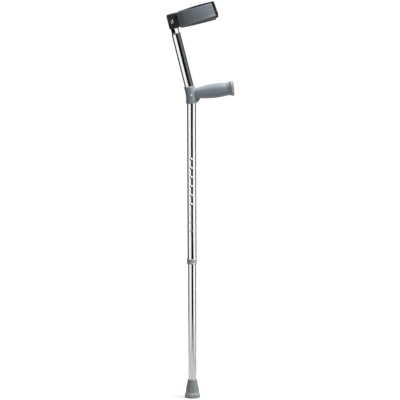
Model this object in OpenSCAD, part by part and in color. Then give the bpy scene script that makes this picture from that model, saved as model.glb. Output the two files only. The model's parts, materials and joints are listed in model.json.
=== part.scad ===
// Forearm crutch, adjustable at the leg and at the cuff.
// Origin: centre of the ferrule's sole. +Z runs up the leg, +X points the way the hand grip does.

/* [Leg] */
// Outer diameter of the upper, outer tube
outer_tube_d = 25; // [25:0.1:25.4]
// Outer diameter of the inner tubes
inner_tube_d = 22; // [21.6:0.1:22]
// Wall of every tube
tube_wall = 1.2; // [1.0:0.05:1.25]
// Height of the bend, where leg and forearm axes meet
bend_z = 840.5; // [836:0.5:860]
// Lowest end of the outer tube
outer_tube_low = 377; // [365:1:390]
// Highest end of the inner leg tube
inner_leg_top = 527; // [515:1:535]

/* [Height adjustment] */
// Diameter of the adjusting holes
hole_d = 8; // [7.8:0.1:8.4]
// Distance from hole to hole
hole_pitch = 25; // [24:0.5:25.5]
// Height of the lowest leg hole
leg_hole_low = 464.5; // [455:0.5:470]
// Number of leg holes
leg_holes = 9; // [6:1:9]
// Number of forearm holes
forearm_holes = 4; // [3:1:4]
// Distance from the bend to the lowest forearm hole
forearm_hole_low = 83; // [82:1:86]

/* [Forearm] */
// Angle by which the forearm tube leans back from the leg
forearm_tilt = 14; // [12:0.1:16]
// Length of the outer forearm tube, from the bend
forearm_tube_len = 172; // [169:0.5:174]
// Distance from the bend to the cuff's pivot
pivot_v = 208.5; // [208:0.5:216]

/* [Handle] */
// Angle by which the grip rises toward its end
grip_rise = 8; // [5:0.5:10]
// Height at which the grip's midline meets the leg axis
grip_z = 843.7; // [842:0.1:847]
// Length of the grip, from the leg axis to its end
grip_len = 117; // [112:1:124]
// Outer diameter of the handle's sleeve
sleeve_d = 29.8; // [29.4:0.1:30.4]

/* [Cuff] */
// Outer width of the cuff's wall
cuff_w = 100; // [94:1:106]
// Width between the outer faces of the cuff's tips
cuff_tip_w = 76; // [72:1:82]
// Distance from the tube's axis to the cuff's tips
cuff_reach = 122; // [116:0.5:126]
// Height of the cuff along the forearm, at its back
cuff_h = 43.5; // [42:0.5:44]
// How much higher the cuff stands toward its tips
cuff_rise = 3.5; // [3:0.5:6]
// Wall of the cuff
cuff_wall = 3; // [2.6:0.1:3.2]

/* [Ferrule] */
// Height of the ferrule
ferrule_h = 51; // [48:1:54]
// Diameter of the ferrule's sole
ferrule_d = 43; // [40:0.5:45]

/* [Hidden] */
$fn = 64;
hull_fn = 32;

outer_r = outer_tube_d / 2;
outer_bore_r = outer_r - tube_wall;
inner_r = inner_tube_d / 2;
inner_bore_r = inner_r - tube_wall;

// gaps: a running fit, and a snug fit between pieces that don't move
running_gap = 0.05;
snug_gap = 0.02;

bend_r = 100;
bend_run = bend_r * tan(forearm_tilt / 2);
bend_thinning = 0.05;
bend_overlap = 0.6;

// snap buttons, drawn pressed in: each dome is then flush with the inner tube
button_r = 3.7;
button_dome_h = 1.4;
button_flange_r = 4.6;
button_flange_h = 1;
button_len = 7.6;
button_hole_r = button_r + 0.2;
spring_leaf = 0.6;
spring_w = 7;
spring_len = 40;
spring_r = inner_r - button_len - 0.1;
spring_past_button = 5;

plug_r = inner_bore_r - snug_gap;
plug_flange_r = outer_bore_r - running_gap;
plug_flange_h = 3;
plug_len = 12;

collar_r = 14.35;
collar_h = 14.5;
collar_lip_h = 4.5;
chamfer = 0.8;
ring_h = 2;
ring_spigot_len = 8;

sleeve_low = -26;
sleeve_high = 21;
// the grip's sections: distance from the leg axis, height and width
grip_sections = [
    [9, 28.5, 24], [24, 31.5, 27], [42, 36.5, 31], [64, 39.5, 33], [89, 38, 32], [106, 33.5, 29]
];
flange_t = 14;
flange_h = 43;
flange_w = 38;
core_r = 8;
core_start = 34;
cap_r = 15;
cap_t = 2.5;
cap_spigot_len = 12;
handle_rivet_r = 2;
handle_rivet_head_r = 2.8;
handle_rivet_head_h = 1.2;

ferrule_floor = 6.5;
washer_t = 1.5;
inner_leg_low = ferrule_floor + washer_t;
tread_depth = 2.5;
tread_w = 2.5;
tread_radii = [6.5, 11.5, 16.5];
ferrule_ribs = 10;
ferrule_rib_w = 2.2;
ferrule_rib_t = 3;
ferrule_rib_len = 27;
ferrule_rib_low = 14;
ferrule_rib_foot_r = 19.6;
ferrule_rib_lean = 8.4;
ferrule_band_h = 10;

// the cuff, in distances from its pivot
cuff_low = -21.5;
cuff_high = cuff_low + cuff_h;
lip_h_back = 5;
lip_h_front = 12;
lip_in_back = 2;
lip_in_front = 5;
cuff_back_u = 14.2;
cuff_r = cuff_w / 2;
cuff_centre_u = cuff_back_u + cuff_r;
arm_run = cuff_reach - cuff_centre_u;
arm_in = (cuff_w - cuff_tip_w) / 2;
arm_angle = 2 * atan(arm_in / arm_run);
arm_r = arm_run / sin(arm_angle);
cuff_corner_r = 2;
// how far the tips lean back for each millimetre up, and how far their lip stands out
cuff_tip_lean = 0.09;
cuff_flare = 1.6;
cuff_flare_h = 6;
cuff_corner_steps = [0, 0.15, 0.4, 0.7, 1];
arm_steps = 9;
back_steps = 30;
edge_steps = 5;

stem_low = 63;
stem_top = 5;
stem_cap_t = 1;
yoke_low = -19.5;
yoke_high = 21.5;
yoke_back = -12.5;
yoke_front = 16.4;
yoke_half = 14.5;
yoke_corner_r = 2.5;
cheek_in = inner_r + 0.4;
yoke_pocket_r = 12.9;
pivot_r = 3;
pivot_head_r = 5.5;
pivot_head_h = 2.4;
screw_y = 7;
screw_v = 17;
screw_r = 1.75;
screw_head_r = 3.5;
screw_len = 13;

// ---- frames and shared shapes ----

// x runs forward and z runs along the forearm tube, from the bend
module forearm_frame() {
    translate([0, 0, bend_z]) rotate([0, -forearm_tilt, 0]) children();
}

// the forearm frame, moved up to the cuff's pivot
module pivot_frame() {
    forearm_frame() translate([0, 0, pivot_v]) children();
}

// x runs along the grip, from the leg axis
module grip_frame() {
    translate([0, 0, grip_z]) rotate([0, -grip_rise, 0]) children();
}

module ring(r_out, r_in) {
    difference() {
        circle(r = r_out);
        if (r_in > 0) circle(r = r_in);
    }
}

module pipe(r_out, r_in, h) {
    linear_extrude(h) ring(r_out, r_in);
}

// a pipe up the leg, round the bend and along the forearm. The bend is a touch thinner, as a drawn bend is,
// and runs a little way into both straight stretches.
module bent_pipe(r_out, r_in, low, high) {
    translate([0, 0, low]) pipe(r_out, r_in, bend_z - bend_run - low);
    translate([-bend_r, 0, bend_z - bend_run]) rotate([90, 0, 0]) rotate([0, 0, -bend_overlap])
        rotate_extrude(angle = forearm_tilt + 2 * bend_overlap, $fn = 128) translate([bend_r, 0])
        ring(r_out - bend_thinning, r_in + (r_in > 0 ? bend_thinning : 0));
    forearm_frame() translate([0, 0, bend_run]) pipe(r_out, r_in, high - bend_run);
}

// a round bar along Y, centred on the axis
module cross_bar(r, length) {
    rotate([90, 0, 0]) cylinder(r = r, h = length, center = true);
}

// a cap of a sphere that stands on z = 0
module dome(base_r, h) {
    sphere_r = (base_r * base_r + h * h) / (2 * h);
    intersection() {
        translate([0, 0, h - sphere_r]) sphere(r = sphere_r);
        cylinder(r = base_r + 1, h = h + 1);
    }
}

// a rivet along Y with a dome head at each end
module rivet(shank_r, grip, head_r, head_h) {
    cross_bar(shank_r, grip);
    for (side = [0, 180]) {
        rotate([90, 0, side]) translate([0, 0, grip / 2]) dome(head_r, head_h);
    }
}

// a snap button on +Z, with its dome flush with the inner tube
module snap_button() {
    low = inner_r - button_len;
    color([0.72, 0.72, 0.74]) {
        translate([0, 0, low]) cylinder(r = button_flange_r, h = button_flange_h);
        translate([0, 0, low]) cylinder(r = button_r, h = button_len - button_dome_h);
        translate([0, 0, inner_r - button_dome_h]) dome(button_r, button_dome_h);
    }
}

// a U-shaped leaf spring in the XZ plane: its leaves stand at x = -near and x = far, and its bend is below
module leaf_spring(near, far) {
    mid = (far - near) / 2;
    r_out = (far + near) / 2;
    color([0.5, 0.5, 0.52]) rotate([90, 0, 0]) linear_extrude(spring_w, center = true) {
        for (x = [-near, far - spring_leaf]) {
            translate([x, 0]) square([spring_leaf, spring_len + spring_past_button]);
        }
        difference() {
            translate([mid, 0]) ring(r_out, r_out - spring_leaf);
            translate([mid - r_out - 1, 0]) square([2 * r_out + 2, r_out + 1]);
        }
    }
}

// a plug in the end of a tube, with a guide flange beyond the end
module guide_plug() {
    color([0.22, 0.22, 0.23]) {
        cylinder(r = plug_flange_r, h = plug_flange_h);
        translate([0, 0, -plug_len]) cylinder(r = plug_r, h = plug_len);
    }
}

// ---- fixed frame ----

module main_tube() {
    color([0.78, 0.79, 0.8]) difference() {
        bent_pipe(outer_r, outer_bore_r, outer_tube_low, forearm_tube_len);
        for (k = [0 : leg_holes - 1]) {
            translate([0, 0, leg_hole_low + k * hole_pitch]) cross_bar(hole_d / 2, 2 * outer_tube_d);
        }
        forearm_frame() for (k = [0 : forearm_holes - 1]) {
            translate([0, 0, forearm_hole_low + k * hole_pitch]) rotate([0, -90, 0])
                cylinder(r = hole_d / 2, h = outer_tube_d);
        }
        translate([0, 0, bend_z]) cross_bar(handle_rivet_r + snug_gap, 2 * outer_tube_d);
    }
}

module leg_collar() {
    low = outer_tube_low - collar_lip_h;
    high = low + collar_h;
    guide_r = inner_r + running_gap;
    seat_r = outer_r + snug_gap;
    color([0.5, 0.52, 0.53]) rotate_extrude() polygon([
        [guide_r, low], [collar_r - chamfer, low], [collar_r, low + chamfer],
        [collar_r, high - chamfer], [collar_r - chamfer, high],
        [seat_r, high], [seat_r, outer_tube_low], [guide_r, outer_tube_low]
    ]);
}

module forearm_end_ring() {
    guide_r = inner_r + running_gap;
    color([0.2, 0.2, 0.21]) forearm_frame() {
        translate([0, 0, forearm_tube_len]) pipe(outer_r, guide_r, ring_h);
        translate([0, 0, forearm_tube_len - ring_spigot_len]) pipe(outer_bore_r, guide_r, ring_spigot_len);
    }
}

// one section of the grip: an upright oval, standing across the grip's axis
module grip_slice(section, thickness) {
    r = section[2] / 2;
    for (side = [-1, 1]) {
        translate([section[0], 0, side * (section[1] / 2 - r)]) rotate([0, 90, 0])
            cylinder(r = r, h = thickness, $fn = hull_fn);
    }
}

module grip_body() {
    for (i = [0 : len(grip_sections) - 2]) {
        hull() {
            grip_slice(grip_sections[i], 0.5);
            grip_slice(grip_sections[i + 1], 0.5);
        }
    }
    hull() {
        grip_slice([grip_len - flange_t, flange_h - 4, flange_w - 4], flange_t);
        grip_slice([grip_len - flange_t + 2, flange_h, flange_w], flange_t - 4);
    }
}

module handle() {
    color([0.44, 0.47, 0.49]) difference() {
        union() {
            intersection() {
                bent_pipe(sleeve_d / 2, 0, bend_z - 60, 60);
                grip_frame() translate([-sleeve_d, -sleeve_d, sleeve_low])
                    cube([2 * sleeve_d, 2 * sleeve_d, sleeve_high - sleeve_low]);
            }
            grip_frame() grip_body();
            grip_frame() hull() {
                translate([0, -3, sleeve_low]) cube([14, 6, 10]);
                translate([20, -3, -14]) cube([4, 6, 4]);
            }
        }
        bent_pipe(outer_r + snug_gap, 0, bend_z - 70, 70);
        grip_frame() rotate([0, 90, 0]) {
            translate([0, 0, core_start]) cylinder(r = core_r, h = grip_len);
            translate([0, 0, grip_len - cap_t]) cylinder(r = cap_r + snug_gap, h = cap_t + 1);
        }
        translate([0, 0, bend_z]) cross_bar(handle_rivet_r + snug_gap, 2 * sleeve_d);
    }
}

module handle_end_cap() {
    color([0.25, 0.26, 0.27]) grip_frame() rotate([0, 90, 0]) {
        translate([0, 0, grip_len - cap_t]) cylinder(r = cap_r, h = cap_t - 0.3);
        translate([0, 0, grip_len - cap_t - cap_spigot_len])
            cylinder(r = core_r - snug_gap, h = cap_spigot_len);
    }
}

module handle_rivet() {
    color([0.75, 0.75, 0.76]) translate([0, 0, bend_z])
        rivet(handle_rivet_r, sleeve_d + 0.2, handle_rivet_head_r, handle_rivet_head_h);
}

// ---- inner leg ----

module lower_leg_tube() {
    color([0.8, 0.81, 0.82]) difference() {
        translate([0, 0, inner_leg_low]) pipe(inner_r, inner_bore_r, inner_leg_top - inner_leg_low);
        translate([0, 0, leg_hole_low]) cross_bar(button_hole_r, 2 * inner_tube_d);
    }
}

module leg_top_plug() {
    translate([0, 0, inner_leg_top]) guide_plug();
}

module leg_button_spring() {
    translate([0, 0, leg_hole_low - spring_len]) rotate([0, 0, 90]) leaf_spring(spring_r, spring_r);
}

module leg_button_front() {
    translate([0, 0, leg_hole_low]) rotate([90, 0, 0]) snap_button();
}

module leg_button_back() {
    translate([0, 0, leg_hole_low]) rotate([-90, 0, 0]) snap_button();
}

module ferrule() {
    sole_r = ferrule_d / 2;
    mouth_r = inner_r + 2.2;
    band_low = ferrule_h - ferrule_band_h;
    color([0.46, 0.48, 0.5]) difference() {
        union() {
            rotate_extrude() polygon([
                [0, 0], [sole_r - 1.5, 0], [sole_r, 1.5], [sole_r, 10.5], [sole_r - 1.5, 12],
                [sole_r - 2.6, 13], [18.1, 17], [16.75, 28], [mouth_r + 1.4, band_low],
                [mouth_r + 0.7, band_low + 0.8], [mouth_r + 0.5, ferrule_h - 1.5], [mouth_r - 0.4, ferrule_h],
                [0, ferrule_h]
            ]);
            for (k = [0 : ferrule_ribs - 1]) {
                rotate([0, 0, 360 * k / ferrule_ribs]) translate([ferrule_rib_foot_r, 0, ferrule_rib_low])
                    rotate([0, -ferrule_rib_lean, 0]) translate([-ferrule_rib_t, -ferrule_rib_w / 2, 0])
                    cube([ferrule_rib_t, ferrule_rib_w, ferrule_rib_len]);
            }
        }
        translate([0, 0, ferrule_floor]) cylinder(r = inner_r + snug_gap, h = ferrule_h);
        for (r = tread_radii) {
            translate([0, 0, -1]) pipe(r + tread_w, r, tread_depth + 1);
        }
    }
}

module ferrule_washer() {
    color([0.6, 0.6, 0.62]) translate([0, 0, ferrule_floor]) cylinder(r = inner_r - 0.1, h = washer_t);
}

// ---- cuff stem ----

module cuff_tube() {
    high = pivot_v + stem_top;
    color([0.8, 0.81, 0.82]) forearm_frame() difference() {
        translate([0, 0, stem_low]) pipe(inner_r, inner_bore_r, high - stem_low);
        translate([0, 0, forearm_hole_low]) rotate([0, -90, 0]) cylinder(r = button_hole_r, h = inner_tube_d);
        translate([0, 0, pivot_v]) cross_bar(pivot_r + 0.1, 2 * inner_tube_d);
    }
}

module cuff_tube_plug() {
    forearm_frame() translate([0, 0, stem_low]) rotate([180, 0, 0]) guide_plug();
}

module cuff_tube_cap() {
    color([0.2, 0.2, 0.21]) pivot_frame() difference() {
        union() {
            translate([0, 0, stem_top]) cylinder(r = inner_r, h = stem_cap_t);
            translate([0, 0, -plug_len]) cylinder(r = plug_r, h = plug_len + stem_top);
        }
        cross_bar(pivot_r + 0.1, 2 * inner_tube_d);
    }
}

module cuff_button_spring() {
    far = sqrt(inner_bore_r * inner_bore_r - spring_w * spring_w / 4) - 0.1;
    forearm_frame() translate([0, 0, forearm_hole_low + spring_len]) mirror([0, 0, 1])
        leaf_spring(spring_r, far);
}

module cuff_button() {
    forearm_frame() translate([0, 0, forearm_hole_low]) rotate([0, -90, 0]) snap_button();
}

// ---- cuff ----

// a countersunk screw along -X, its head's face at x = 0
module screw_shape(gap) {
    rotate([0, -90, 0]) {
        cylinder(r = screw_r + gap, h = screw_len);
        cylinder(r1 = screw_head_r + gap, r2 = screw_r + gap, h = screw_head_r - screw_r);
    }
}

module at_cuff_screws() {
    inside_r = cuff_r - cuff_wall;
    inside_u = cuff_centre_u - sqrt(inside_r * inside_r - screw_y * screw_y);
    for (side = [-1, 1]) {
        translate([inside_u, side * screw_y, screw_v]) children();
    }
}

// the fork's side view, with round corners
module yoke_outline() {
    for (x = [yoke_back + yoke_corner_r, yoke_front - yoke_corner_r]) {
        for (z = [yoke_low + yoke_corner_r, yoke_high - yoke_corner_r]) {
            translate([x, z]) circle(r = yoke_corner_r);
        }
    }
    wide = yoke_front - yoke_back;
    tall = yoke_high - yoke_low;
    translate([yoke_back, yoke_low + yoke_corner_r]) square([wide, tall - 2 * yoke_corner_r]);
    translate([yoke_back + yoke_corner_r, yoke_low]) square([wide - 2 * yoke_corner_r, tall]);
}

// a fork whose cheeks stand beside the tube. It is open at the back, up to the bridge over the tube's cap.
module cuff_yoke() {
    color([0.13, 0.13, 0.14]) pivot_frame() difference() {
        rotate([90, 0, 0]) linear_extrude(2 * yoke_half, center = true) yoke_outline();
        cross_bar(yoke_pocket_r, 2 * cheek_in);
        translate([-50, -cheek_in, -50]) cube([100, 2 * cheek_in, 50]);
        translate([-50, -cheek_in, -1]) cube([50, 2 * cheek_in, yoke_pocket_r + 1]);
        translate([cuff_centre_u, 0, cuff_low - 1]) cylinder(r = cuff_r + 0.05, h = 2 * cuff_h, $fn = 128);
        cross_bar(pivot_r + snug_gap, 4 * yoke_half);
        at_cuff_screws() screw_shape(snug_gap);
    }
}

// ---- the cuff band: a section swept round the cuff's plan, from tip to tip ----

// The plan is an arc round the back and a flatter arc along each arm. A station is an angle on these arcs.
function cuff_stations() = let (first = 90 - arm_angle, corner = cuff_corner_r / arm_r * 180 / PI) concat(
    [for (part = cuff_corner_steps) first + corner * part],
    [for (i = [1 : arm_steps]) first + corner + (arm_angle - corner) * i / arm_steps],
    [for (i = [1 : back_steps]) 90 + 180 * i / back_steps],
    [for (i = [1 : arm_steps]) 270 + (arm_angle - corner) * i / arm_steps],
    [for (i = [len(cuff_corner_steps) - 1 : -1 : 0]) 270 + arm_angle - corner * cuff_corner_steps[i]]
);

// a point of the plan, out of the outer face by the given distance
function plan_point(a, out) =
    a < 90 ? [cuff_centre_u + (arm_r + out) * cos(a), cuff_r - arm_r + (arm_r + out) * sin(a)] :
    a > 270 ? [cuff_centre_u + (arm_r + out) * cos(a), arm_r - cuff_r + (arm_r + out) * sin(a)] :
    [cuff_centre_u + (cuff_r + out) * cos(a), (cuff_r + out) * sin(a)];

// how far a station is on its way from the back, 0, to the tips, 1
function forward(a) = (plan_point(a, 0)[0] - cuff_back_u) / (cuff_reach - cuff_back_u);

// how much a rounded corner takes off the edges at this distance from the tip
function corner_cut(to_tip) = let (past = min(cuff_corner_r, max(0, cuff_corner_r - to_tip)))
    cuff_corner_r - sqrt(cuff_corner_r * cuff_corner_r - past * past);

// The section as distances out of the outer face and heights. Its lower part flares and then turns in, more
// so toward the tips.
function cuff_section(a) = let (
    edge = cuff_wall / 2,
    part = max(0, forward(a)),
    cut = corner_cut(cuff_reach - plan_point(a, 0)[0]),
    top = cuff_high + cuff_rise * sin(90 * part) - edge - cut,
    bottom = cuff_low + edge + cut,
    turn_h = lip_h_back + (lip_h_front - lip_h_back) * part,
    turn_in = lip_in_back + (lip_in_front - lip_in_back) * part
) concat(
    [for (i = [0 : edge_steps]) let (t = 180 * i / edge_steps) [-edge + edge * cos(t), top + edge * sin(t)]],
    [[-cuff_wall, cuff_low + turn_h + cuff_flare_h], [cuff_flare * part - cuff_wall, cuff_low + turn_h]],
    [for (i = [0 : edge_steps]) let (t = 180 + 180 * i / edge_steps)
        [-edge - turn_in + edge * cos(t), bottom + edge * sin(t)]],
    [[cuff_flare * part, cuff_low + turn_h], [0, cuff_low + turn_h + cuff_flare_h]]
);

// a point of the band at this station: the tips lean back
function cuff_point(a, p) = let (part = max(0, forward(a)), at = plan_point(a, p[0]))
    [at[0] - cuff_tip_lean * part * part * p[1], at[1], p[1]];

module cuff_sweep() {
    stations = cuff_stations();
    rings = len(stations);
    size = 2 * edge_steps + 6;
    points = [for (a = stations) for (p = cuff_section(a)) cuff_point(a, p)];
    sides = [for (i = [0 : rings - 2]) for (j = [0 : size - 1]) let (k = (j + 1) % size)
        [i * size + j, i * size + k, (i + 1) * size + k, (i + 1) * size + j]];
    first_end = [for (j = [size - 1 : -1 : 0]) j];
    last_end = [for (j = [0 : size - 1]) (rings - 1) * size + j];
    polyhedron(points, concat(sides, [first_end, last_end]), convexity = 6);
}

module cuff_band() {
    color([0.47, 0.5, 0.52]) pivot_frame() difference() {
        cuff_sweep();
        at_cuff_screws() screw_shape(snug_gap);
    }
}

module cuff_pivot_rivet() {
    color([0.82, 0.82, 0.83]) pivot_frame() rivet(pivot_r, 2 * yoke_half + 0.1, pivot_head_r, pivot_head_h);
}

module cuff_screws() {
    color([0.6, 0.6, 0.62]) pivot_frame() at_cuff_screws() screw_shape(0);
}

main_tube();
leg_collar();
forearm_end_ring();
handle();
handle_end_cap();
handle_rivet();
lower_leg_tube();
leg_top_plug();
leg_button_spring();
ferrule();
ferrule_washer();
leg_button_front();
leg_button_back();
cuff_tube();
cuff_tube_plug();
cuff_tube_cap();
cuff_button_spring();
cuff_button();
cuff_yoke();
cuff_band();
cuff_pivot_rivet();
cuff_screws();
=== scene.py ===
"""Looks of the forearm crutch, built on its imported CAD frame. All lengths are in metres."""

import json
import math

import bmesh
import bpy
from mathutils import Matrix, Quaternion, Vector


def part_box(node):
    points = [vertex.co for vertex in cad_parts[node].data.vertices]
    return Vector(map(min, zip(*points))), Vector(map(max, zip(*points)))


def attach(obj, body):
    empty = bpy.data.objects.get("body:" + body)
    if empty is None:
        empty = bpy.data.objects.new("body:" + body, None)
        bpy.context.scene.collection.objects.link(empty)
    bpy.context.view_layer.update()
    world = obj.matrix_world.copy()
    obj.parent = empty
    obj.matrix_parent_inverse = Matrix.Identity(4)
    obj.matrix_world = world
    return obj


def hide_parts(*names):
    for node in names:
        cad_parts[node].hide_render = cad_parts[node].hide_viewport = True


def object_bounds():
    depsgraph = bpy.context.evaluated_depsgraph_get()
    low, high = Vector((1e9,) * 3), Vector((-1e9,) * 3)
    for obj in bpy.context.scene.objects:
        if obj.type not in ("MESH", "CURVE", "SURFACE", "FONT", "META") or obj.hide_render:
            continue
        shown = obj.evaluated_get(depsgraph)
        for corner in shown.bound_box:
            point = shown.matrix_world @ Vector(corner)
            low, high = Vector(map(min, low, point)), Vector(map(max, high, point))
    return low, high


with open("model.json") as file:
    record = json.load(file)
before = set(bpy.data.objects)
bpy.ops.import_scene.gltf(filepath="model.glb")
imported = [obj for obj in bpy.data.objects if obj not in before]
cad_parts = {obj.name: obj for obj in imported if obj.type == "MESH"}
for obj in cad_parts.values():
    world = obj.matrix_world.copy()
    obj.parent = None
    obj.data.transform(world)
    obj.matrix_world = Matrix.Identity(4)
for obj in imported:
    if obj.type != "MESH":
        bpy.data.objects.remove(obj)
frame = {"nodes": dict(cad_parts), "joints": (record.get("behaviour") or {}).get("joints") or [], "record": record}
cad_low, cad_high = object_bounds()

# ---- driving dimensions, all from the frame ----

MM = 0.001
ON_AXIS = 0.1 * MM
record = frame["record"]
joints = {joint["name"]: joint for joint in frame["joints"]}
mounts = {mount["name"]: mount for mount in record["mounts"]}


def half_width(node):
    """Half of a node's size across the crutch."""
    low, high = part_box(node)
    return (high.y - low.y) / 2


outer_r = half_width("main_tube")
inner_r = half_width("lower_leg_tube")
leg_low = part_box("main_tube")[0].z

slide_axis = Vector(joints["cuff_slide"]["axis"])
forearm_tilt = math.atan2(-slide_axis.x, slide_axis.z)
pivot = Vector(joints["cuff_pivot"]["pos_m"])
bend_z = pivot.z + pivot.x / math.tan(forearm_tilt)

grip_axis = Vector(mounts["hand_grip"]["axis"])
grip_rise = math.atan2(grip_axis.z, grip_axis.x)
grip_at = Vector(mounts["hand_grip"]["pos_m"])
grip_z = grip_at.z - grip_at.x * math.tan(grip_rise)

# frames: x runs forward and z runs along the forearm tube, or x runs along the grip
FOREARM = Matrix.Translation((0, 0, bend_z)) @ Matrix.Rotation(-forearm_tilt, 4, "Y")
PIVOT = Matrix.Translation(pivot) @ Matrix.Rotation(-forearm_tilt, 4, "Y")
GRIP = Matrix.Translation((0, 0, grip_z)) @ Matrix.Rotation(-grip_rise, 4, "Y")

# ---- camera, first of all ----

VIEW_AZIMUTH = math.radians(5)
VIEW_ELEVATION = math.radians(7.2)
VIEW_ROLL = math.radians(0.2)
VIEW_DISTANCE = 13.0
VIEW_WIDTH = 1.1
VIEW_MIDDLE_X = 22.7 * MM
VIEW_MIDDLE_HEIGHT = 0.5022
SENSOR_MM = 36.0
CLIP_END = 200


def make_camera():
    """A long lens, far off and a little above, with the whole crutch in view."""
    back = Vector((
        math.sin(VIEW_AZIMUTH) * math.cos(VIEW_ELEVATION),
        -math.cos(VIEW_AZIMUTH) * math.cos(VIEW_ELEVATION),
        math.sin(VIEW_ELEVATION),
    ))
    target = Vector((VIEW_MIDDLE_X, 0, VIEW_MIDDLE_HEIGHT * cad_high.z))
    data = bpy.data.cameras.new("camera")
    data.sensor_width = SENSOR_MM
    data.lens = SENSOR_MM * VIEW_DISTANCE / VIEW_WIDTH
    data.clip_end = CLIP_END
    camera = bpy.data.objects.new("camera", data)
    camera.location = target + back * VIEW_DISTANCE
    camera.rotation_mode = "QUATERNION"
    level = (-back).to_track_quat("-Z", "Y")
    camera.rotation_quaternion = level @ Quaternion((0, 0, 1), -VIEW_ROLL)
    bpy.context.scene.collection.objects.link(camera)
    bpy.context.scene.camera = camera


make_camera()

# ---- material helpers ----

WHITE = (1, 1, 1, 1)
BLACK = (0, 0, 0, 1)

# a mix node's sockets: its factor, then its two inputs and its output when it mixes colours or vectors
MIX_FACTOR = 0
COLOUR_INPUTS, COLOUR_OUTPUT = (6, 7), 2
VECTOR_INPUTS, VECTOR_OUTPUT = (4, 5), 1


class Graph:
    """A material's node tree, with short calls for what the materials share."""

    def __init__(self, name):
        self.material = bpy.data.materials.new(name)
        self.material.use_nodes = True
        self.tree = self.material.node_tree
        self.shader = self.tree.nodes["Principled BSDF"]
        self.place = self.add("ShaderNodeTexCoord").outputs["Object"]

    def add(self, kind, **values):
        node = self.tree.nodes.new(kind)
        for key, value in values.items():
            setattr(node, key, value)
        return node

    def link(self, source, socket):
        self.tree.links.new(source, socket)

    def give(self, name, value):
        """Sets one of the shader's own sockets, or links it where the value is a socket."""
        socket = self.shader.inputs[name]
        if isinstance(value, bpy.types.NodeSocket):
            self.link(value, socket)
        else:
            socket.default_value = value

    def drawn_out(self, vector, z_scale):
        """The place with its z scaled, so that a pattern on it is drawn out along z."""
        node = self.add("ShaderNodeMapping")
        node.inputs["Scale"].default_value = (1, 1, z_scale)
        self.link(vector, node.inputs["Vector"])
        return node.outputs["Vector"]

    def noise(self, vector, scale, detail=3.0, roughness=0.5):
        node = self.add("ShaderNodeTexNoise")
        node.inputs["Scale"].default_value = scale
        node.inputs["Detail"].default_value = detail
        node.inputs["Roughness"].default_value = roughness
        self.link(vector, node.inputs["Vector"])
        return node.outputs["Fac"]

    def remap(self, value, old, new):
        """The value moved from its old range, low and high, to a new one, and kept inside that."""
        node = self.add("ShaderNodeMapRange")
        for key, number in zip(("From Min", "From Max", "To Min", "To Max"), (*old, *new)):
            node.inputs[key].default_value = number
        self.link(value, node.inputs["Value"])
        return node.outputs["Result"]

    def math(self, operation, first, second):
        """An operation on two values: each is a number or a socket."""
        node = self.add("ShaderNodeMath", operation=operation)
        for socket, value in zip(node.inputs, (first, second)):
            if isinstance(value, (int, float)):
                socket.default_value = value
            else:
                self.link(value, socket)
        return node.outputs["Value"]

    def mix(self, factor, first, second):
        """A colour between two: each is a colour or a socket."""
        node = self.add("ShaderNodeMix", data_type="RGBA")
        self.link(factor, node.inputs[MIX_FACTOR])
        for index, value in zip(COLOUR_INPUTS, (first, second)):
            if isinstance(value, tuple):
                node.inputs[index].default_value = (*value, 1)
            else:
                self.link(value, node.inputs[index])
        return node.outputs[COLOUR_OUTPUT]

    def choose(self, factor, first, second):
        """The first vector where the factor is 0, and the second where it is 1."""
        node = self.add("ShaderNodeMix", data_type="VECTOR")
        self.link(factor, node.inputs[MIX_FACTOR])
        for index, value in zip(VECTOR_INPUTS, (first, second)):
            self.link(value, node.inputs[index])
        return node.outputs[VECTOR_OUTPUT]

    def attribute(self, name):
        return self.add("ShaderNodeAttribute", attribute_name=name).outputs["Fac"]

    def height(self):
        """How high the point is."""
        node = self.add("ShaderNodeSeparateXYZ")
        self.link(self.place, node.inputs["Vector"])
        return node.outputs["Z"]

    def bump(self, value, depth, under=None):
        """A surface raised by the value, on top of another one where there is one under it."""
        node = self.add("ShaderNodeBump")
        node.inputs["Distance"].default_value = depth
        self.link(value, node.inputs["Height"])
        if under is not None:
            self.link(under, node.inputs["Normal"])
        return node.outputs["Normal"]


def shade(colour, factor):
    return tuple(min(1.0, channel * factor) for channel in colour)


def grey(level):
    return (level, level, level)


# ---- materials ----


def along_tubes(graph):
    """The place, turned above the bend so that z runs along the tube in the leg and in the forearm part."""
    turned = graph.add("ShaderNodeVectorRotate", rotation_type="Y_AXIS")
    turned.inputs["Center"].default_value = (0, 0, bend_z)
    turned.inputs["Angle"].default_value = forearm_tilt
    graph.link(graph.place, turned.inputs["Vector"])
    above = graph.math("GREATER_THAN", graph.height(), bend_z)
    return graph.choose(above, graph.place, turned.outputs["Vector"])


def make_aluminium(name, roughness):
    """Polished tube: fine drawn lines along it, faint smudges, and a few lengthwise scratches."""
    clean, smudged, scratch = (0.9, 0.905, 0.91), (0.84, 0.85, 0.86), (0.72, 0.73, 0.74)
    graph = Graph(name)
    along = along_tubes(graph)
    lines = graph.noise(graph.drawn_out(along, 0.004), scale=2400, detail=4, roughness=0.6)
    scratches = graph.noise(graph.drawn_out(along, 0.02), scale=900, detail=2)
    smudges = graph.noise(graph.place, scale=22, detail=4, roughness=0.6)
    fine = graph.remap(lines, (0.3, 0.7), (-0.03, 0.03))
    broad = graph.remap(smudges, (0.35, 0.7), (roughness - 0.03, roughness + 0.07))
    scratched = graph.remap(scratches, (0.68, 0.74), (0, 1))
    graph.give("Roughness", graph.math("ADD", fine, broad))
    graph.give("Base Color", graph.mix(scratched, graph.mix(smudges, clean, smudged), scratch))
    graph.give("Metallic", 1)
    drawn = graph.bump(lines, depth=0.004 * MM)
    graph.give("Normal", graph.bump(scratched, depth=-0.01 * MM, under=drawn))
    return graph.material


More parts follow.
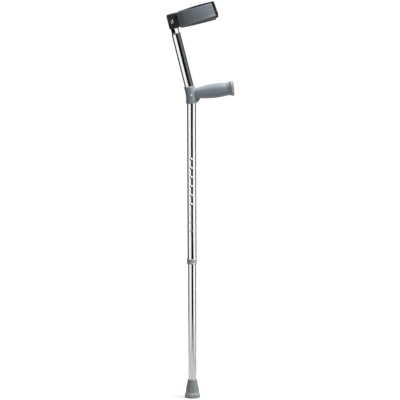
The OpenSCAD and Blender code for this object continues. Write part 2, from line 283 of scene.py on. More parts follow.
def make_steel(name, colour, roughness):
    """Plated steel: a fine even grain, duller patches, and brighter edges where it is rubbed."""
    graph = Graph(name)
    grain = graph.noise(graph.place, scale=3500, detail=3)
    patches = graph.noise(graph.place, scale=160, detail=4, roughness=0.6)
    worn = graph.mix(graph.remap(patches, (0.4, 0.7), (0, 1)), colour, shade(colour, 0.78))
    rubbed = graph.remap(graph.attribute("wear"), (0.4, 1), (0, 0.7))
    graph.give("Roughness", graph.remap(patches, (0.3, 0.7), (roughness - 0.05, roughness + 0.1)))
    graph.give("Base Color", graph.mix(rubbed, worn, shade(colour, 1.25)))
    graph.give("Metallic", 1)
    graph.give("Normal", graph.bump(grain, depth=0.006 * MM))
    return graph.material


def make_plastic(name, colour, roughness, grain_size, grain_depth, wear_and_sheen_by=1.6, painted_shade=None):
    """Moulded plastic: a spark-eroded grain, slight flow marks, and paler, smoother edges: wear where hands rub
    it, and on the cuff also a painted highlight along its rims and its lip's crease.

    Where a piece has an "inner" attribute, its inside and its lip take painted shade, in a near-black colour of
    its own.
    """
    graph = Graph(name)
    grain = graph.noise(graph.place, scale=1 / grain_size, detail=3, roughness=0.55)
    flow = graph.noise(graph.drawn_out(graph.place, 0.5), scale=38, detail=5, roughness=0.6)
    handled = graph.noise(graph.place, scale=130, detail=4, roughness=0.7)
    patchy = graph.remap(handled, (0.35, 0.6), (0.15, 1))
    # paler edges: wear, and on the cuff also a painted highlight along its rims and its lip's crease
    wear = graph.math("MULTIPLY", graph.attribute("wear"), patchy)
    tone = graph.mix(graph.remap(flow, (0.3, 0.7), (0, 1)), shade(colour, 0.93), shade(colour, 1.08))
    speck = graph.mix(graph.remap(grain, (0.35, 0.75), (0, 0.25)), tone, shade(colour, 0.7))
    seen = graph.mix(wear, speck, shade(colour, wear_and_sheen_by))
    # painted shade: the cuff's inside, and its lip at part strength, made near-black as if in shade
    if painted_shade:
        shaded_inside = graph.mix(grain, painted_shade, shade(painted_shade, 1.5))
        seen = graph.mix(graph.attribute("inner"), seen, shaded_inside)
    dull = graph.remap(flow, (0.3, 0.7), (roughness - 0.04, roughness + 0.05))
    smoothed = graph.math("MULTIPLY", wear, 0.12)
    graph.give("Base Color", seen)
    graph.give("Roughness", graph.math("SUBTRACT", dull, smoothed))
    broad = graph.bump(flow, depth=0.08 * MM)
    graph.give("Normal", graph.bump(grain, depth=grain_depth, under=broad))
    return graph.material


def make_rubber(name, colour):
    """Grey rubber: matt and mottled, with floor dust toward the sole and scuffed edges."""
    dust_colour = (0.15, 0.147, 0.137)
    graph = Graph(name)
    grain = graph.noise(graph.place, scale=1500, detail=4, roughness=0.6)
    bloom = graph.noise(graph.place, scale=70, detail=5, roughness=0.65)
    uneven = graph.remap(bloom, (0.2, 0.8), (-10 * MM, 10 * MM))
    dust = graph.remap(graph.math("ADD", graph.height(), uneven), (2 * MM, 24 * MM), (0.3, 0))
    tone = graph.mix(graph.remap(bloom, (0.3, 0.7), (0, 1)), shade(colour, 0.86), shade(colour, 1.12))
    dusty = graph.mix(dust, tone, dust_colour)
    rough_spots = graph.remap(grain, (0.35, 0.65), (0.1, 0.9))
    scuffs = graph.math("MULTIPLY", graph.attribute("wear"), rough_spots)
    graph.give("Base Color", graph.mix(scuffs, dusty, shade(colour, 1.5)))
    graph.give("Roughness", graph.remap(bloom, (0.3, 0.7), (0.68, 0.86)))
    graph.give("Specular IOR Level", 0.35)
    broad = graph.bump(bloom, depth=0.15 * MM)
    graph.give("Normal", graph.bump(grain, depth=0.05 * MM, under=broad))
    return graph.material


def make_floor_material():
    """A pale floor that also glows a little, as a lit floor does, so that shadows on it are faint."""
    graph = Graph("studio_floor")
    even = graph.noise(graph.place, scale=3, detail=2)
    graph.give("Base Color", graph.mix(even, grey(0.125), grey(0.118)))
    graph.give("Emission Color", WHITE)
    graph.give("Emission Strength", 0.55)
    graph.give("Roughness", 0.8)
    graph.give("Specular IOR Level", 0.1)
    return graph.material


def make_card_graph(name, glow, colour=BLACK):
    """A studio card's material: it mirrors nothing and glows by the amount given."""
    graph = Graph(name)
    graph.give("Base Color", colour)
    graph.give("Specular IOR Level", 0)
    graph.give("Emission Color", WHITE)
    graph.give("Emission Strength", glow)
    return graph


GRIP_GREY = (0.118, 0.138, 0.152)
CUFF_GREY = (0.072, 0.084, 0.092)
# near-black painted shade for the inside of the cuff and its lip
INNER_SHADE_BLACK = (0.01, 0.011, 0.012)
COLLAR_GREY = (0.17, 0.18, 0.187)
NEAR_BLACK = (0.012, 0.013, 0.014)
RUBBER_GREY = (0.056, 0.063, 0.066)
ZINC = (0.66, 0.66, 0.67)
SPRING = (0.36, 0.36, 0.38)

finishes = {
    "tube_aluminium": make_aluminium("polished_aluminium", 0.09),
    "grip_plastic": make_plastic("grip_plastic", GRIP_GREY, 0.5, 0.5 * MM, 0.05 * MM),
    "cuff_plastic": make_plastic("cuff_plastic", CUFF_GREY, 0.4, 0.6 * MM, 0.025 * MM, painted_shade=INNER_SHADE_BLACK),
    "dark_plastic": make_plastic("dark_plastic", NEAR_BLACK, 0.38, 0.5 * MM, 0.02 * MM, wear_and_sheen_by=2.6),
    "collar_plastic": make_plastic("collar_plastic", COLLAR_GREY, 0.45, 0.45 * MM, 0.03 * MM, wear_and_sheen_by=1.35),
    "ferrule_rubber": make_rubber("ferrule_rubber", RUBBER_GREY),
    "steel": make_steel("zinc_plated_steel", ZINC, 0.34),
    "spring_steel": make_steel("spring_steel", SPRING, 0.3),
}
slot_of = {part["node"]: part["material_slot"] for part in record["subparts"]}


def finish_cad_nodes():
    """Every CAD node takes its finish from its slot in the record."""
    for name, node in frame["nodes"].items():
        node.data.materials.clear()
        node.data.materials.append(finishes[slot_of[name]])


# ---- mesh helpers ----

CORNER_SHARE = 0.45
SHORTEST_EDGE = 1e-7


def new_object(name, data):
    """An object in the scene with the bmesh as its mesh."""
    mesh = bpy.data.meshes.new(name)
    data.to_mesh(mesh)
    data.free()
    obj = bpy.data.objects.new(name, mesh)
    bpy.context.scene.collection.objects.link(obj)
    return obj


def ring_mesh(rings, closed_ends=True, looped=False):
    """A mesh through rings of points, each ring closed on itself."""
    data = bmesh.new()
    made = [[data.verts.new(point) for point in ring] for ring in rings]
    count = len(made[0])
    pairs = list(zip(made, made[1:]))
    if looped:
        pairs.append((made[-1], made[0]))
    for first, second in pairs:
        for j in range(count):
            k = (j + 1) % count
            data.faces.new((first[j], first[k], second[k], second[j]))
    if closed_ends and not looped:
        data.faces.new(tuple(reversed(made[0])))
        data.faces.new(tuple(made[-1]))
    bmesh.ops.recalc_face_normals(data, faces=data.faces)
    return data


def circle(radius, height, steps):
    """Points of a level circle round the z axis."""
    angles = [math.tau * i / steps for i in range(steps)]
    return [Vector((radius * math.cos(angle), radius * math.sin(angle), height)) for angle in angles]


def turned_mesh(profile, place, steps, shape=None):
    """A closed profile of (radius, height) turned round the place's z axis.

    shape may move a point by its angle.
    """
    rings = []
    for i in range(steps):
        angle = math.tau * i / steps
        ring = []
        for radius, height in profile:
            r, z = shape(radius, height, angle) if shape else (radius, height)
            ring.append(place @ Vector((r * math.cos(angle), r * math.sin(angle), z)))
        rings.append(ring)
    return ring_mesh(rings, looped=True)


def rounded(corners, radius, steps=4):
    """A closed outline with each corner turned into a small arc.

    A corner is (x, y) or (x, y, its own radius).
    """
    points = []
    for i, corner in enumerate(corners):
        at = Vector(corner[:2])
        before = Vector(corners[i - 1][:2]) - at
        after = Vector(corners[(i + 1) % len(corners)][:2]) - at
        wanted = corner[2] if len(corner) > 2 else radius
        reach = min(wanted, before.length * CORNER_SHARE, after.length * CORNER_SHARE)
        start = at + before.normalized() * reach
        end = at + after.normalized() * reach
        for step in range(steps + 1):
            t = step / steps
            points.append((1 - t) ** 2 * start + 2 * t * (1 - t) * at + t * t * end)
    return [tuple(point) for point in points]


def bake_modifiers(obj):
    """Makes the object's mesh what its modifiers turn it into."""
    graph = bpy.context.evaluated_depsgraph_get()
    mesh = bpy.data.meshes.new_from_object(obj.evaluated_get(graph))
    obj.modifiers.clear()
    old = obj.data
    obj.data = mesh
    bpy.data.meshes.remove(old)


def combine(obj, others, operation):
    """Joins the others to the object or takes them out of it, and removes them."""
    for other in others:
        modifier = obj.modifiers.new("combine", "BOOLEAN")
        modifier.operation = operation
        modifier.solver = "EXACT"
        modifier.object = other
    bake_modifiers(obj)
    for other in others:
        bpy.data.objects.remove(other)


def smooth_by_angle(obj, degrees):
    """Smooth shading, with edges sharper than the angle kept crisp."""
    data = bmesh.new()
    data.from_mesh(obj.data)
    limit = math.radians(degrees)
    for face in data.faces:
        face.smooth = True
    for edge in data.edges:
        edge.smooth = len(edge.link_faces) == 2 and edge.calc_face_angle(0) < limit
    data.to_mesh(obj.data)
    data.free()


def store(obj, name, amounts):
    """Keeps one number for each point of the object's mesh, for its material."""
    attribute = obj.data.attributes.new(name, "FLOAT", "POINT")
    attribute.data.foreach_set("value", amounts)


def mark_wear(obj, full_bend, spread):
    """Stores how sharply each point stands out, 0 to 1, for the paler edges of its material: edge wear, and on the
    cuff also a painted highlight.
    """
    data = bmesh.new()
    data.from_mesh(obj.data)
    data.verts.ensure_lookup_table()
    amounts = []
    for vert in data.verts:
        bends = [
            -vert.normal.dot((edge.other_vert(vert).co - vert.co).normalized())
            for edge in vert.link_edges
            if edge.calc_length() > SHORTEST_EDGE
        ]
        bend = sum(bends) / max(1, len(bends))
        amounts.append(min(1.0, max(0.0, bend / full_bend)))
    for _ in range(spread):
        amounts = [
            (amounts[vert.index] + sum(amounts[edge.other_vert(vert).index] for edge in vert.link_edges))
            / (1 + len(vert.link_edges))
            for vert in data.verts
        ]
    data.free()
    store(obj, "wear", amounts)


def stand_for(obj, node, body, shade_angle, full_bend, spread=1):
    """Shades the finished piece, gives it its node's finish and puts it in the node's place."""
    slot_name = slot_of[node]
    smooth_by_angle(obj, shade_angle)
    mark_wear(obj, full_bend, spread)
    obj.data.materials.clear()
    obj.data.materials.append(finishes[slot_name])
    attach(obj, body)
    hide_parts(node)


# ---- ferrule ----

FERRULE_STEPS = 240
RIB_COUNT = 10
RIB_PROUD = 0.9 * MM
RIB_SHARE = 0.16
RIB_NARROWING = 0.35
RIB_FOOT, RIB_HEAD = 0.08, 0.12
TREAD_RADII = (6.5 * MM, 11.5 * MM, 16.5 * MM)
TREAD_GROOVE = 2.5 * MM


def make_ferrule():
    """The rubber foot: a flared sole, a ribbed cone and a banded mouth, turned in one piece."""
    low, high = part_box("ferrule")
    sole = (high.x - low.x) / 2
    tall = high.z - low.z
    mouth = inner_r + 2.2 * MM
    socket = inner_r + 0.02 * MM
    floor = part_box("ferrule_washer")[0].z
    band_low = tall - 10 * MM
    rib_low = 13.5 * MM
    cone_r = 16.4 * MM
    bottom = [(ON_AXIS, 0)]
    for radius in TREAD_RADII:
        outer = radius + TREAD_GROOVE
        bottom += [(radius, 0), (radius, TREAD_GROOVE), (outer, TREAD_GROOVE), (outer, 0)]
    outside = [
        (sole - 0.4 * MM, 0, 1.4 * MM),
        (sole, 9.8 * MM, 1.6 * MM),
        (cone_r + 1.9 * MM, 13.8 * MM, 1.6 * MM),
        (cone_r + 1.2 * MM, 17 * MM, 3 * MM),
        (cone_r, 27 * MM, 6 * MM),
        (mouth + 1.3 * MM, band_low, 1 * MM),
        (mouth + 0.7 * MM, band_low + 0.8 * MM, 0.5 * MM),
        (mouth + 0.5 * MM, tall - 1.6 * MM, 1 * MM),
        (mouth - 0.4 * MM, tall, 0.7 * MM),
    ]
    inside = [
        (inner_r + 0.3 * MM, tall, 0.4 * MM),
        (socket, tall - 1 * MM),
        (socket, floor),
        (ON_AXIS, floor),
    ]
    profile = rounded(bottom + outside + inside, 0.35 * MM)
    span = band_low - rib_low

    def ribbed(radius, height, angle):
        """Lifts the cone's outside into ribs, which narrow upward and fade at both ends."""
        part = (height - rib_low) / span
        if radius < inner_r + 1 * MM or not 0 < part < 1:
            return radius, height
        turn = (angle * RIB_COUNT / math.tau + 0.5) % 1 - 0.5
        wide = RIB_SHARE * (1 - RIB_NARROWING * part)
        face = max(0.0, 1 - abs(turn) / wide)
        ends = min(1.0, part / RIB_FOOT, (1 - part) / RIB_HEAD)
        return radius + RIB_PROUD * ends * (face * face * (3 - 2 * face)), height

    place = Matrix.Translation((0, 0, low.z))
    obj = new_object("ferrule_moulding", turned_mesh(profile, place, FERRULE_STEPS, ribbed))
    stand_for(obj, "ferrule", "lower_leg", shade_angle=32, full_bend=0.22)


# ---- leg collar ----

COLLAR_STEPS = 128


def make_collar():
    """The collar that guides the inner leg tube: rounded rims, a shallow waist and two small beads."""
    low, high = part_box("leg_collar")
    radius = (high.x - low.x) / 2
    guide = inner_r + 0.05 * MM
    seat = outer_r + 0.02 * MM
    bead = 2.6 * MM
    step = 0.7 * MM
    waist = radius - 0.55 * MM
    rim = radius - 0.2 * MM
    profile = rounded([
        (guide, low.z + 0.4 * MM),
        (guide + 0.5 * MM, low.z),
        (rim, low.z, 1.2 * MM),
        (radius, low.z + bead, 0.5 * MM),
        (waist, low.z + bead + step, 0.4 * MM),
        (waist, high.z - bead - step, 0.4 * MM),
        (radius, high.z - bead, 0.5 * MM),
        (rim, high.z, 1.1 * MM),
        (seat, high.z, 0.2 * MM),
        (seat, leg_low),
        (guide, leg_low),
    ], 0.15 * MM)
    obj = new_object("collar_moulding", turned_mesh(profile, Matrix.Identity(4), COLLAR_STEPS))
    stand_for(obj, "leg_collar", "frame", shade_angle=35, full_bend=0.25)


# ---- handle ----

BEND_R = 100 * MM
BEND_STEPS = 12
ROD_POINTS = 96

SLEEVE_R = 14.9 * MM
SLEEVE_LOW, SLEEVE_HIGH = -26 * MM, 21 * MM
SLEEVE_REACH = 60 * MM
BORE_REACH = 70 * MM

# the web under the grip: its side outline along and above the grip's midline, and half of its thickness
WEB_SIDE = [(2, -25.8), (13.5, -25.8), (25.5, -13), (25, 0), (2, 0)]
WEB_HALF = 5.5

# the grip's sections: distance from the leg axis, height, width, and how boxy it is, in mm
GRIP_SECTIONS = [
    (4, 27.5, 23, 2.3),
    (10, 28.5, 24.2, 2.3),
    (24, 31.5, 27, 2.4),
    (42, 36.5, 31, 2.45),
    (64, 39.5, 33, 2.5),
    (86, 38.1, 32, 2.45),
    (98, 35.8, 30.4, 2.35),
    (105, 36, 31.2, 2.3),
    (110, 39.4, 34.6, 2.3),
    (113.4, 42.3, 37.4, 2.35),
    (115, 42.9, 37.9, 2.4),
    (116.4, 41.4, 36.4, 2.4),
    (117, 38.8, 33.8, 2.4),
]
GRIP_LEN = GRIP_SECTIONS[-1][0] * MM
GRIP_STEPS = 6
GRIP_POINTS = 64
GRIP_VOXEL = 0.9 * MM
CORE_R = 8 * MM
CORE_START = 34 * MM


def between(sections, i, t):
    """A section between two neighbours, on a smooth curve through them all."""
    picked = [sections[max(0, min(len(sections) - 1, i + k))] for k in (-1, 0, 1, 2)]
    weights = (
        (-t + 2 * t * t - t ** 3) / 2,
        (2 - 5 * t * t + 3 * t ** 3) / 2,
        (t + 4 * t * t - 3 * t ** 3) / 2,
        (-t * t + t ** 3) / 2,
    )
    return [sum(w * s[k] for w, s in zip(weights, picked)) for k in range(len(picked[0]))]


def grip_ring(section):
    """A rounded oval across the grip."""
    distance, tall, wide, boxy = section
    ring = []
    for i in range(GRIP_POINTS):
        angle = math.tau * i / GRIP_POINTS
        c, s = math.cos(angle), math.sin(angle)
        y = math.copysign(abs(c) ** (2 / boxy), c) * wide / 2
        z = math.copysign(abs(s) ** (2 / boxy), s) * tall / 2
        ring.append(GRIP @ Vector((distance * MM, y * MM, z * MM)))
    return ring


def bent_rod(radius, reach):
    """A solid rod on the tubes' axes, from below the bend to as far above it."""
    run = BEND_R * math.tan(forearm_tilt / 2)
    stops = [(Vector((0, 0, bend_z - reach)), 0)]
    for i in range(BEND_STEPS + 1):
        angle = forearm_tilt * i / BEND_STEPS
        x = -BEND_R * (1 - math.cos(angle))
        stops.append((Vector((x, 0, bend_z - run + BEND_R * math.sin(angle))), angle))
    stops.append((FOREARM @ Vector((0, 0, reach)), forearm_tilt))
    rings = []
    for at, angle in stops:
        turn = Matrix.Translation(at) @ Matrix.Rotation(-angle, 4, "Y")
        rings.append([turn @ point for point in circle(radius, 0, ROD_POINTS)])
    return ring_mesh(rings)


def slice_off(data, place, height, side):
    """Cuts a closed mesh at a height of the place's frame and keeps what lies below it, or above it."""
    flat = bmesh.ops.bisect_plane(
        data,
        geom=data.verts[:] + data.edges[:] + data.faces[:],
        plane_co=place @ Vector((0, 0, height)),
        plane_no=(place.to_3x3() @ Vector((0, 0, 1))) * side,
        clear_outer=True,
    )
    edges = [item for item in flat["geom_cut"] if isinstance(item, bmesh.types.BMEdge)]
    bmesh.ops.contextual_create(data, geom=edges)


def sleeve_mesh():
    sleeve = bent_rod(SLEEVE_R, SLEEVE_REACH)
    slice_off(sleeve, GRIP, SLEEVE_HIGH, 1)
    slice_off(sleeve, GRIP, SLEEVE_LOW, -1)
    return sleeve


def grip_mesh():
    rings = []
    for i in range(len(GRIP_SECTIONS) - 1):
        for step in range(GRIP_STEPS):
            rings.append(grip_ring(between(GRIP_SECTIONS, i, step / GRIP_STEPS)))
    rings.append(grip_ring(GRIP_SECTIONS[-1]))
    return ring_mesh(rings)


def web_mesh():
    return ring_mesh([
        [GRIP @ Vector((x * MM, y * MM, z * MM)) for x, z in WEB_SIDE]
        for y in (-WEB_HALF, WEB_HALF)
    ])


def core_mesh():
    """The hollow of the grip, with the end cap's recess."""
    across = GRIP @ Matrix.Rotation(math.pi / 2, 4, "Y")
    recess = half_width("handle_end_cap") + 0.1 * MM
    past_end = GRIP_LEN + 1 * MM
    profile = rounded([
        (ON_AXIS, CORE_START),
        (CORE_R, CORE_START),
        (CORE_R, GRIP_LEN - 2.5 * MM),
        (recess, GRIP_LEN - 2.5 * MM),
        (recess, GRIP_LEN - 0.5 * MM),
        (recess + 0.6 * MM, past_end),
        (ON_AXIS, past_end),
    ], 0.05 * MM, steps=2)
    return turned_mesh(profile, across, steps=64)


def make_handle():
    """Sleeve, web and grip, melted into one moulding, then bored for the tube and for the end cap."""
    obj = new_object("handle_moulding", sleeve_mesh())
    for data in (grip_mesh(), web_mesh()):
        combine(obj, [new_object("part", data)], "UNION")
    melt = obj.modifiers.new("melt", "REMESH")
    melt.mode = "VOXEL"
    melt.voxel_size = GRIP_VOXEL
    soften = obj.modifiers.new("soften", "SMOOTH")
    soften.factor = 0.5
    soften.iterations = 6
    bake_modifiers(obj)
    bore = new_object("bore", bent_rod(outer_r + 0.02 * MM, BORE_REACH))
    core = new_object("core", core_mesh())
    combine(obj, [bore, core], "DIFFERENCE")
    stand_for(obj, "handle", "frame", shade_angle=50, full_bend=0.16, spread=3)


# ---- cuff band ----

# the cuff in its pivot frame: its round back, its arms' reach and spread, and its lower and upper edges
CUFF_R = 50 * MM
CUFF_BACK = 14.2 * MM
CUFF_MIDDLE = CUFF_BACK + CUFF_R
CUFF_REACH = 122 * MM
CUFF_TIP_HALF = 38 * MM
CUFF_LOW, CUFF_HIGH, CUFF_RISE = -21.5 * MM, 21.9 * MM, 3.5 * MM
CUFF_WALL = 3 * MM
CUFF_ARM_STEPS = 28
CUFF_BACK_STEPS = 72
RIM_STEPS = 8

TIP_CORNER_R = 2 * MM
TIP_CORNER_PARTS = (0, 0.06, 0.15, 0.28, 0.45, 0.7, 1)
TIP_LEAN = 0.09

# the flared lower edge: how far it stands out at the tips, over what height, and how it turns in
FLARE, FLARE_H = 1.6 * MM, 6 * MM
LIP_H, LIP_H_GROWTH = 5 * MM, 7 * MM
LIP_IN, LIP_IN_GROWTH = 2 * MM, 3 * MM
# painted shade on the cuff: its height on the lip, the lip's share of it, and from what facing the inside darkens
# and over what range
SHADED_LIP_H = 4.4 * MM
LIP_SHADE = 0.55
INNER_SHADE_FROM, INNER_SHADE_OVER = 0.2, 0.4

QUARTER = math.pi / 2


def forward(u):
    """How far toward the tips a place is, from 0 at the cuff's back to 1."""
    return max(0.0, (u - CUFF_BACK) / (CUFF_REACH - CUFF_BACK))


def mark_inner(obj):
    """Marks what faces the middle of the cuff, and half marks its lip, for the painted shade of its material: both
    are darkened as if in shade.
    """
    to_cuff = PIVOT.inverted()
    amounts = []
    for vert in obj.data.vertices:
        at = to_cuff @ vert.co
        inward = Vector((CUFF_MIDDLE - at.x, -at.y, 0)).normalized()
        facing = (to_cuff.to_3x3() @ vert.normal).dot(inward)
        lip_top = CUFF_LOW + SHADED_LIP_H + LIP_H_GROWTH * forward(at.x)
        on_lip = LIP_SHADE if at.z < lip_top else 0.0
        amounts.append(min(1.0, max(on_lip, (facing - INNER_SHADE_FROM) / INNER_SHADE_OVER)))
    store(obj, "inner", amounts)


def make_cuff_band():
    """The open cuff: a section with rolled rims and a turned-in lip, swept from tip to tip."""
    run = CUFF_REACH - CUFF_MIDDLE
    arm_angle = 2 * math.atan((CUFF_R - CUFF_TIP_HALF) / run)
    arm_r = run / math.sin(arm_angle)
    tip = TIP_CORNER_R / arm_r
    first, last = QUARTER - arm_angle, 3 * QUARTER
    edge = CUFF_WALL / 2

    def plan(angle, out):
        """A point of the plan, out of the outer face. The angle runs from tip to tip round the back."""
        radius, aside = CUFF_R, 0
        if angle < QUARTER:
            radius, aside = arm_r, CUFF_R - arm_r
        elif angle > 3 * QUARTER:
            radius, aside = arm_r, arm_r - CUFF_R
        return CUFF_MIDDLE + (radius + out) * math.cos(angle), aside + (radius + out) * math.sin(angle)

    def half_round(out, height, start):
        """Half a circle as wide as the wall."""
        angles = [start + math.pi * i / RIM_STEPS for i in range(RIM_STEPS + 1)]
        return [(out + edge * math.cos(angle), height + edge * math.sin(angle)) for angle in angles]

    def section(angle):
        """The wall's section: how far each point lies out of the outer face, and its height."""
        u = plan(angle, 0)[0]
        part = forward(u)
        past = min(TIP_CORNER_R, max(0.0, TIP_CORNER_R - (CUFF_REACH - u)))
        off = TIP_CORNER_R - math.sqrt(TIP_CORNER_R ** 2 - past ** 2)
        top = CUFF_HIGH + CUFF_RISE * math.sin(QUARTER * part) - edge - off
        bottom = CUFF_LOW + edge + off
        turn_at = CUFF_LOW + LIP_H + LIP_H_GROWTH * part
        turn_in = LIP_IN + LIP_IN_GROWTH * part
        out = FLARE * part
        inner_side = [(-CUFF_WALL, turn_at + FLARE_H), (out - CUFF_WALL, turn_at)]
        outer_side = [
            (out - 0.9 * MM, turn_at - 0.8 * MM),
            (out - 0.3 * MM, turn_at - 0.2 * MM),
            (out - 0.02 * MM, turn_at + 0.3 * MM),
            (out * 0.3, turn_at + 0.65 * FLARE_H),
            (0, turn_at + FLARE_H),
        ]
        upper_rim = half_round(-edge, top, 0)
        lower_rim = half_round(-edge - turn_in, bottom, math.pi)
        return upper_rim + inner_side + lower_rim + outer_side

    corner = [tip * part for part in TIP_CORNER_PARTS]
    arm = [(arm_angle - tip) * i / CUFF_ARM_STEPS for i in range(1, CUFF_ARM_STEPS + 1)]
    stations = [first + step for step in corner]
    stations += [first + tip + step for step in arm]
    stations += [QUARTER + math.pi * i / CUFF_BACK_STEPS for i in range(1, CUFF_BACK_STEPS + 1)]
    stations += [last + step for step in arm]
    stations += [last + arm_angle - step for step in reversed(corner[:-1])]

    rings = []
    for angle in stations:
        lean = TIP_LEAN * forward(plan(angle, 0)[0]) ** 2
        ring = []
        for out, height in section(angle):
            u, y = plan(angle, out)
            ring.append(PIVOT @ Vector((u - lean * height, y, height)))
        rings.append(ring)
    obj = new_object("cuff_moulding", ring_mesh(rings))
    # painted shade: marks the cuff's inside and lip to be darkened
    mark_inner(obj)
    # full_bend 0.12 marks its rims and crease widely: their paler edges are partly wear, partly a painted
    # highlight
    stand_for(obj, "cuff_band", "cuff", shade_angle=30, full_bend=0.12)


# ---- cuff yoke and rivet ----

# a cutter that has to pass right through reaches this far
THROUGH = 50 * MM


def block(name, low, high, place):
    """A box in the place's frame."""
    data = bmesh.new()
    bmesh.ops.create_cube(data, size=1)
    middle = (Vector(low) + Vector(high)) / 2
    size = Vector(high) - Vector(low)
    for vert in data.verts:
        vert.co = place @ (middle + vert.co * size)
    return new_object(name, data)


def rod(name, radius, half_length, place, steps=64, round_edge=0.1 * MM):
    """A rod along the place's y axis."""
    lying = place @ Matrix.Rotation(-QUARTER, 4, "X")
    profile = rounded([
        (ON_AXIS, -half_length), (radius, -half_length), (radius, half_length), (ON_AXIS, half_length),
    ], round_edge, steps=2)
    return new_object(name, turned_mesh(profile, lying, steps))


def make_yoke():
    """The fork that carries the cuff: a rounded block, dished round the rivet and slotted for the tube."""
    half = half_width("cuff_yoke")
    back, front, low, high = -12.5 * MM, 16.4 * MM, -19.5 * MM, 21.5 * MM
    cheek = inner_r + 0.4 * MM
    pocket = 12.9 * MM
    dish_r, dish_depth, dish_half = 7.6 * MM, 0.65 * MM, 5 * MM
    outline = rounded([(back, low), (front, low), (front, high), (back, high)], 3.4 * MM, steps=6)
    obj = new_object("yoke_moulding", ring_mesh([
        [PIVOT @ Vector((x, y, z)) for x, z in outline] for y in (-half, half)
    ]))
    edges = obj.modifiers.new("edges", "BEVEL")
    edges.width = 1.4 * MM
    edges.segments = 4
    edges.limit_method = "ANGLE"
    edges.angle_limit = math.radians(60)
    bake_modifiers(obj)
    hole_r, hole_half = 3.02 * MM, 40 * MM
    band_r = CUFF_R + 0.05 * MM
    band_place = PIVOT @ Matrix.Translation((CUFF_MIDDLE, 0, 0))
    band = [(ON_AXIS, -30 * MM), (band_r, -30 * MM), (band_r, 40 * MM), (ON_AXIS, 40 * MM)]
    cutters = [
        rod("pocket", pocket, cheek, PIVOT, steps=96),
        block("slot", (-THROUGH, -cheek, -THROUGH), (THROUGH, cheek, 0), PIVOT),
        block("back_gap", (-THROUGH, -cheek, -1 * MM), (0, cheek, pocket), PIVOT),
        new_object("band", turned_mesh(band, band_place, steps=256)),
        rod("hole", hole_r, hole_half, PIVOT),
    ]
    for side in (-1, 1):
        place = PIVOT @ Matrix.Translation((0, side * (half + dish_half - dish_depth), 0))
        cutters.append(rod("dish", dish_r, dish_half, place, steps=96, round_edge=0.3 * MM))
    combine(obj, cutters, "DIFFERENCE")
    stand_for(obj, "cuff_yoke", "cuff", shade_angle=34, full_bend=0.3)


def make_pivot_rivet():
    """A tubular rivet: a shank with a rolled head and a bore at each side."""
    half = half_width("cuff_pivot_rivet")
    seat = half_width("cuff_yoke") - 0.05 * MM
    shank, head, bore = 3 * MM, 5.5 * MM, 2 * MM
    bore_end = half - 9 * MM
    lying = PIVOT @ Matrix.Rotation(-QUARTER, 4, "X")
    upper = [
        (ON_AXIS, bore_end),
        (bore, bore_end),
        (bore, half - 1.6 * MM),
        (bore + 0.9 * MM, half, 1.3 * MM),
        (head - 0.6 * MM, half - 0.5 * MM, 1.2 * MM),
        (head, seat),
        (shank, seat),
    ]
    lower = [(radius, -height, *own_radius) for radius, height, *own_radius in reversed(upper)]
    profile = rounded(upper + lower, 0.15 * MM, steps=5)
    obj = new_object("pivot_rivet_turned", turned_mesh(profile, lying, steps=96))
    stand_for(obj, "cuff_pivot_rivet", "cuff", shade_angle=35, full_bend=0.3)


# ---- studio ----

FLOOR_HALF = 60

# dark flags: name, azimuth and width as seen from the crutch, in degrees
FLAGS = (("front", 17, 60), ("left", -112, 64), ("right", 136, 58))
FLAG_BLACK = (0.004, 0.004, 0.004, 1)
FLAG_AWAY, FLAG_TALL = 1.1, 1.5
LOW_FLAG_AWAY, LOW_FLAG_TALL = 0.32, 0.42

CARD_STEPS = 48
CARD_FADE_FROM = 0.45
CARD_PATCHES = 1.75

STEM_CARD_AWAY = 75 * MM
STEM_CARD_LOW, STEM_CARD_HIGH = -38 * MM, -21 * MM
STEM_CARD_STEPS = 16

SUN_STRENGTH = 13
SUN_WIDTH = math.radians(40)
SUN_FROM = Vector((0.45, -0.15, 0.88))

# the room's brightness from behind the camera, 0, to behind the object, 1
ROOM_GREYS = ((0, 0.05), (0.5, 0.2), (0.8, 0.32), (0.97, 1))


def make_floor():
    data = bmesh.new()
    bmesh.ops.create_grid(data, x_segments=1, y_segments=1, size=FLOOR_HALF)
    floor = new_object("floor", data)
    floor.location.z = cad_low.z
    floor.data.materials.append(make_floor_material())


def set_up_card(card, material, seen_in):
    """Puts the card on the stage, where it acts only in gloss or only as soft light."""
    card.data.materials.append(material)
    card.visible_camera = False
    card.visible_glossy = seen_in == "gloss"
    card.visible_diffuse = seen_in == "soft light"
    card.visible_shadow = False
    card.visible_transmission = False


def make_flag(name, azimuth, wide, away, tall):
    """A dark studio flag, seen only in gloss: it gives polished tube its dark lines."""
    half = away * math.tan(math.radians(wide / 2))
    turn = Matrix.Rotation(math.radians(azimuth), 4, "Z")
    data = bmesh.new()
    corners = ((-half, 0), (half, 0), (half, tall), (-half, tall))
    data.faces.new([data.verts.new(turn @ Vector((x, -away, z))) for x, z in corners])
    set_up_card(new_object(name, data), make_card_graph(name, 0, FLAG_BLACK).material, "gloss")


def make_ring_card(name, away, tall, dim, bright, seen_in):
    """A low glowing ring round the crutch's foot, fading out toward its top."""
    graph = make_card_graph(name, 1)
    patches = graph.noise(graph.place, scale=CARD_PATCHES / away, detail=1)
    uneven = graph.remap(patches, (0.35, 0.65), (0, 1))
    graph.give("Emission Color", graph.mix(uneven, grey(dim), grey(bright)))
    graph.give("Alpha", graph.remap(graph.height(), (CARD_FADE_FROM * tall, tall), (1, 0)))
    rings = [circle(away, height, CARD_STEPS) for height in (2 * MM, tall)]
    set_up_card(new_object(name, ring_mesh(rings, closed_ends=False)), graph.material, seen_in)


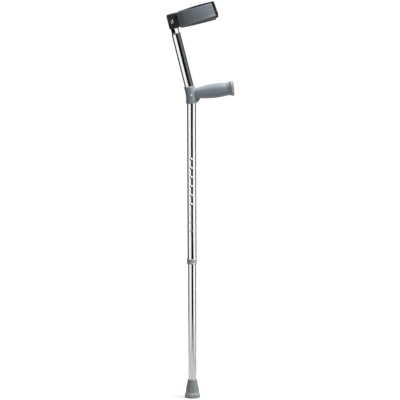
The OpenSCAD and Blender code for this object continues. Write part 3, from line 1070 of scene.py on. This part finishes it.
def make_stem_card(name, start, end, glow):
    """A small card bent round the bare stem under the cuff, seen only in gloss: it shades one side of it."""
    data = bmesh.new()
    rows = []
    for i in range(STEM_CARD_STEPS + 1):
        angle = math.radians(start + (end - start) * i / STEM_CARD_STEPS)
        x, y = STEM_CARD_AWAY * math.sin(angle), -STEM_CARD_AWAY * math.cos(angle)
        heights = (STEM_CARD_LOW, STEM_CARD_HIGH)
        rows.append([data.verts.new(PIVOT @ Vector((x, y, z))) for z in heights])
    for first, second in zip(rows, rows[1:]):
        data.faces.new((first[0], second[0], second[1], first[1]))
    set_up_card(new_object(name, data), make_card_graph(name, glow).material, "gloss")


def make_sun():
    """A broad soft light from above."""
    data = bpy.data.lights.new("overhead", "SUN")
    data.energy = SUN_STRENGTH
    data.angle = SUN_WIDTH
    sun = bpy.data.objects.new("overhead", data)
    sun.rotation_euler = SUN_FROM.to_track_quat("Z", "Y").to_euler()
    bpy.context.scene.collection.objects.link(sun)


def make_world():
    """A room that is dim behind the camera and white behind the object."""
    world = bpy.data.worlds.new("studio")
    world.use_nodes = True
    bpy.context.scene.world = world
    tree = world.node_tree
    place = tree.nodes.new("ShaderNodeTexCoord")
    parts = tree.nodes.new("ShaderNodeSeparateXYZ")
    ramp = tree.nodes.new("ShaderNodeValToRGB")
    depth = tree.nodes.new("ShaderNodeMapRange")
    depth.inputs["From Min"].default_value = -1
    tree.links.new(place.outputs["Generated"], parts.inputs["Vector"])
    tree.links.new(parts.outputs["Y"], depth.inputs["Value"])
    tree.links.new(depth.outputs["Result"], ramp.inputs["Fac"])
    stops = ramp.color_ramp.elements
    stops.remove(stops[1])
    for i, (at, level) in enumerate(ROOM_GREYS):
        stop = stops[0] if i == 0 else stops.new(at)
        stop.position = at
        stop.color = (*grey(level), 1)
    tree.links.new(ramp.outputs["Color"], tree.nodes["Background"].inputs["Color"])


finish_cad_nodes()
make_ferrule()
make_collar()
make_handle()
make_cuff_band()
make_yoke()
make_pivot_rivet()
make_floor()
for side, azimuth, wide in FLAGS:
    make_flag("flag_" + side, azimuth, wide, FLAG_AWAY, FLAG_TALL)
    make_flag("low_flag_" + side, azimuth, wide, LOW_FLAG_AWAY, LOW_FLAG_TALL)
make_ring_card("low_card", away=0.1, tall=0.22, dim=0.45, bright=0.7, seen_in="gloss")
make_ring_card("foot_fill", away=0.3, tall=0.12, dim=5, bright=5.4, seen_in="soft light")
make_stem_card("stem_card_dark", start=-100, end=4, glow=0)
make_stem_card("stem_card_bright", start=4, end=100, glow=1)
make_sun()
make_world()
bpy.context.scene.view_settings.view_transform = "Standard"
